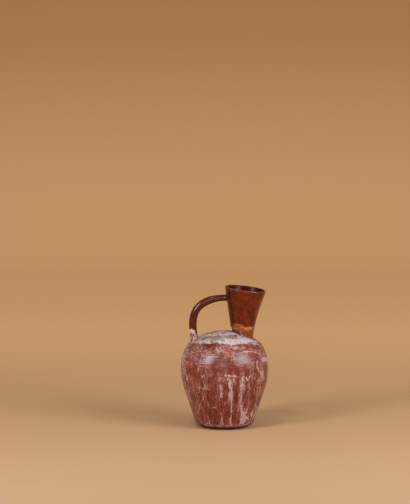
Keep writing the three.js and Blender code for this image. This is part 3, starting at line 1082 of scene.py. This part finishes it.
handleStrokes = {
    "ochre": [(7, 0.45, [(-180, 200), (0, 200), (180, 200)])],
    "bright": [],
    # Painted shadow along the crease where the handle's foot meets the crown
    "dark": [(1.5, 0.8, [(-58, 207), (-85, 199), (-110, 196)])],
    "pale": [
        (18, 0.52, [(-250, 193), (-180, 192), (-80, 190)]),
        (6, 1, [(-170, 205), (-125, 206.5), (-95, 205)]),
        (4, 0.85, [(-190, 204), (-165, 198)]),
        (10, 0.6, [(-60, 189), (60, 190), (120, 194)]),
    ],
}


def makeHandle():
    edge = neckLeft(handle["topHeight"])
    top = (edge + handle["cadTopDepth"], handle["topHeight"])
    out = (-handle["reach"], handle["outHeight"])
    seat = (-handle["footOffset"], crownAt(handle["footOffset"]) - handle["cadFootDepth"])
    across, drop, fall = top[0] - out[0], top[1] - out[1], out[1] - seat[1]
    lean = radians(handle["lean"])
    cut = handle["cadTopDepth"] - handle["topDepth"]
    lift = handle["cadFootDepth"] - handle["footDepth"]
    lowEnd = (seat[0] - lift * tan(lean), seat[1] + lift)
    pickNothing()
    bpy.ops.curve.primitive_bezier_curve_add()
    curve = nameNew("handleCoil")
    spline = curve.data.splines[0]
    spline.bezier_points.add(1)
    headway = fall * handle["footFullness"]
    beforeSeat = (seat[0] - sin(lean) * headway, seat[1] + cos(lean) * headway)
    rows = [
        ((top[0] - cut, top[1]), top, (top[0] - across * handle["topFullness"], top[1])),
        (out, (out[0], out[1] + drop * handle["sideFullness"]), (out[0], out[1] - headway)),
        (lowEnd, beforeSeat, seat),
    ]
    for dot, row in zip(spline.bezier_points, rows):
        dot.handle_left_type = dot.handle_right_type = "FREE"
        dot.co, dot.handle_left, dot.handle_right = [(x * mm, 0, z * mm) for x, z in row]
    spline.resolution_u = handle["steps"] // 2
    curve.data.dimensions = "3D"
    curve.data.bevel_depth = handle["radius"] * mm
    curve.data.bevel_resolution = 10
    curve.data.use_fill_caps = True
    bpy.ops.object.convert(target="MESH")
    piece = nameNew("handleCoil")
    bpy.ops.object.mode_set(mode="EDIT")
    tidySkin()
    places = placesOf(piece)
    x, y, z = places.T
    angle = np.degrees(np.arctan2(y, x - handle["strokeAxis"]))
    height = z + 1.5 * cloud(places, 5, 14.5)
    nearFoot = x < handle["brushedBefore"]
    lay = partial(brushed, angle, height, handle["radius"], reachAt=float)
    fields = [lay(rows) * nearFoot for rows in handleStrokes.values()]
    fields[2] = np.maximum(fields[2], 0.42 + 0.3 * cloud(places, 14, 24.5))
    keepFinish(piece, fields, places)
    relief = 0.28 * cloud(places, (22, 9, 22), 6.5) + 0.1 * cloud(places, (6, 5, 6), 16.5)
    fullness = smoothStep((handle["thinTo"] - x) / (handle["thinTo"] - handle["fullFrom"]))
    raiseSkin(piece, relief - (handle["radius"] - handle["topRadius"]) * (1 - fullness))
    declare(piece, "handle", glazeFinish, 60)


makeHandle()


# Clay pressed round an end of the handle: a ring that spreads and turns as it nears its seat
def makePad(name, seat, axisTilt, seatTilt, pad):
    steps = pad["steps"]
    pickNothing()
    rows = []
    for i in range(steps + 1):
        share = i / steps
        above = pad["height"] * (1 - share) - pad["sink"] * share
        tilt = axisTilt + (seatTilt - axisTilt) * smoothStep(share)
        x, z = seat[0] + above * sin(axisTilt), seat[1] + above * cos(axisTilt)
        spread = (pad["spread"] + padShape["inset"]) * share ** padShape["curve"]
        radius = pad["radius"] - padShape["inset"] + spread
        rows.append((Vector((x, 0, z)) * mm, float(tilt), radius))
    centre, tilt, radius = rows[0]
    bpy.ops.mesh.primitive_circle_add(vertices=padShape["sides"], radius=radius * mm)
    piece = nameNew(name)
    piece.location = centre
    piece.rotation_euler = (0, tilt, 0)
    bpy.ops.object.transform_apply()
    editAll()
    bpy.ops.mesh.edge_face_add()
    for (c0, t0, r0), (c1, t1, r1) in zip(rows, rows[1:]):
        bpy.ops.mesh.extrude_region_move(TRANSFORM_OT_translate={"value": c1 - c0})
        bpy.ops.transform.resize(value=(r1 / r0,) * 3, center_override=c1)
        bpy.ops.transform.rotate(value=t0 - t1, orient_axis="Y", center_override=c1)
    tidySkin()
    return piece


padShape = {"inset": 0.4, "curve": 1.8, "sides": 64}
footPad = {"radius": 8.3, "spread": 2.4, "height": 6.5, "sink": 1.4, "steps": 14}
topPad = {"radius": 6.8, "spread": 2.6, "height": 5, "sink": 1, "steps": 12}


def makeFootPad():
    offset = handle["footOffset"] + handle["cadFootDepth"] * tan(radians(handle["lean"]))
    slope = asin(offset / crownRadius)
    lean = -radians(handle["lean"])
    piece = makePad("handleFootPad", (-offset, crownAt(offset)), lean, -slope, footPad)
    places = placesOf(piece)
    # Painted shade: the slip is dimmed along a band near the crown, and the pad is darker on its
    # side towards the neck, in the crease
    paleShare = 0.5 + 0.3 * cloud(places, 5, 4.5) - 0.2 * bell(places[:, 2], 196, 1.3)
    paintedCreaseShade = 0.8 * smoothStep((places[:, 0] + 64) / 5)
    keepFinish(piece, (0.4, 0, paintedCreaseShade * 0.6, np.clip(paleShare, 0, 1)), places)
    raiseSkin(piece, 0.4 * cloud(places, 5, 8.5) + 0.12 * cloud(places, 2, 2.5))
    declare(piece, "handle_foot_pad", glazeFinish, 60)


def makeTopPad():
    edge = neckLeft(handle["topHeight"])
    lean = radians(-90)
    slope = atan2(neckLeft(handle["topHeight"] - 5) - neckLeft(handle["topHeight"] + 5), 10)
    piece = makePad("handleTopPad", (edge, handle["topHeight"]), lean, lean - slope, topPad)
    places = placesOf(piece)
    keepFinish(piece, (0, 0, 0.55, 0), places)
    raiseSkin(piece, 0.3 * cloud(places, 6, 18.5))
    declare(piece, "handle_top_pad", glazeFinish, 60)


makeFootPad()
makeTopPad()

# Stage, lights and camera

stage = {
    "width": 7,
    "front": -6.5,
    "back": 2.6,
    "bend": 0.9,
    "bendSteps": 24,
    "wall": 0.9,
    "floorColour": srgb(197, 158, 119),
    "nearShadeColour": srgb(178, 148, 118),
    "topShadeColour": srgb(186, 144, 98),
    "glowColour": srgb(200, 158, 108),
    "nearFade": (-1.4, -0.1, 1, 0),
    "topFade": (0, 0.9),
    "lift": (0.1, 1.5, 0, 0.38),
    "liftAtTop": (0, 0.9, 1, 0.25),
}


# Warm paper, painted darker towards the camera and towards the top of the back (painted shade),
# with a painted glow a little up the back
def sandPaper():
    mat = newMaterial("sandPaper")
    place = add(mat, "TexCoord").outputs["Object"]
    axes = add(mat, "SeparateXYZ", {"Vector": place}).outputs
    near = ranged(mat, axes["Y"], *stage["nearFade"])
    climb = ranged(mat, axes["Z"], *stage["topFade"])
    layers = (near, stage["nearShadeColour"]), (climb, stage["topShadeColour"])
    colour = layered(mat, stage["floorColour"], *layers)
    # The emission is a painted glow on the back of the paper, which also casts a little light
    lift = ranged(mat, axes["Y"], *stage["lift"])
    lift = times(mat, lift, ranged(mat, axes["Z"], *stage["liftAtTop"]))
    glow = {"Emission Color": stage["glowColour"], "Emission Strength": lift}
    return coated(mat, colour, 0.9, {"Specular IOR Level": 0.2, **glow})


def makeStage():
    pickNothing()
    bpy.ops.mesh.primitive_plane_add(size=1)
    floor = nameNew("paperSweep")
    depth = stage["back"] - stage["front"]
    floor.scale = (stage["width"], depth, 1)
    floor.location = (0, (stage["back"] + stage["front"]) / 2, 0)
    bpy.ops.object.transform_apply()
    for edge in floor.data.edges:
        edge.select = all(floor.data.vertices[v].co.y > 0 for v in edge.vertices)
    for face in floor.data.polygons:
        face.select = False
    for vertex in floor.data.vertices:
        vertex.select = vertex.co.y > 0
    bpy.ops.object.mode_set(mode="EDIT")
    bpy.ops.mesh.select_mode(type="EDGE")
    last = (0, 0)
    for i in range(1, stage["bendSteps"] + 1):
        turn = pi / 2 * i / stage["bendSteps"]
        here = (stage["bend"] * sin(turn), stage["bend"] * (1 - cos(turn)))
        move = (0, here[0] - last[0], here[1] - last[1])
        bpy.ops.mesh.extrude_edges_move(TRANSFORM_OT_translate={"value": move})
        last = here
    bpy.ops.mesh.extrude_edges_move(TRANSFORM_OT_translate={"value": (0, 0, stage["wall"])})
    bpy.ops.mesh.select_mode(type="VERT")
    bpy.ops.object.mode_set(mode="OBJECT")
    bpy.ops.object.shade_smooth()
    floor.data.materials.append(sandPaper())


lights = {
    "leftSoftbox": {"angle": -45, "height": 25, "distance": 2.3, "size": (0.58, 0.72), "power": 25},
    "rightSoftbox": {"angle": 53, "height": 25, "distance": 2.3, "size": (1.25, 1), "power": 35},
    "frontFill": {"angle": -3, "height": 15, "distance": 3.4, "size": (0.9, 0.6), "power": 8},
    "overhead": {"angle": -25, "height": 62, "distance": 2.2, "size": (0.24, 0.12), "power": 6},
}
lampColour = (0.95, 1, 1.07)
ambient = {"colour": (1, 0.79, 0.55, 1), "strength": 0.385}


def makeLights():
    target = Vector((0, 0, 0.15))
    for name, row in lights.items():
        turn, up = radians(row["angle"]), radians(row["height"])
        offset = Vector((sin(turn) * cos(up), -cos(turn) * cos(up), sin(up)))
        lamp = bpy.data.lights.new(name, "AREA")
        lamp.color = lampColour
        lamp.shape = "RECTANGLE"
        lamp.size, lamp.size_y = row["size"]
        lamp.energy = row["power"]
        holder = bpy.data.objects.new(name, lamp)
        holder.location = target + offset * row["distance"]
        holder.rotation_euler = offset.to_track_quat("Z", "Y").to_euler()
        scene.collection.objects.link(holder)
    world = bpy.data.worlds.new("studio")
    world.use_nodes = True
    backdrop = world.node_tree.nodes["Background"]
    backdrop.inputs["Color"].default_value = ambient["colour"]
    backdrop.inputs["Strength"].default_value = ambient["strength"]
    scene.world = world


view = {
    "lens": 185.7,
    "farEnd": 50,
    "distance": 5.59,
    "above": 10.5,
    "tilt": 6.6804,
    "turn": 0.43606,
}


def makeCamera():
    data = bpy.data.cameras.new("viewpoint")
    data.lens = view["lens"]
    data.clip_end = view["farEnd"]
    camera = bpy.data.objects.new("viewpoint", data)
    up = radians(view["above"])
    camera.location = (0, -view["distance"] * cos(up), view["distance"] * sin(up))
    camera.rotation_euler = (radians(90 - view["tilt"]), 0, radians(view["turn"]))
    scene.collection.objects.link(camera)
    scene.camera = camera


makeStage()
makeLights()
makeCamera()
scene.view_settings.view_transform = "Standard"
print("stage, lights and camera made")
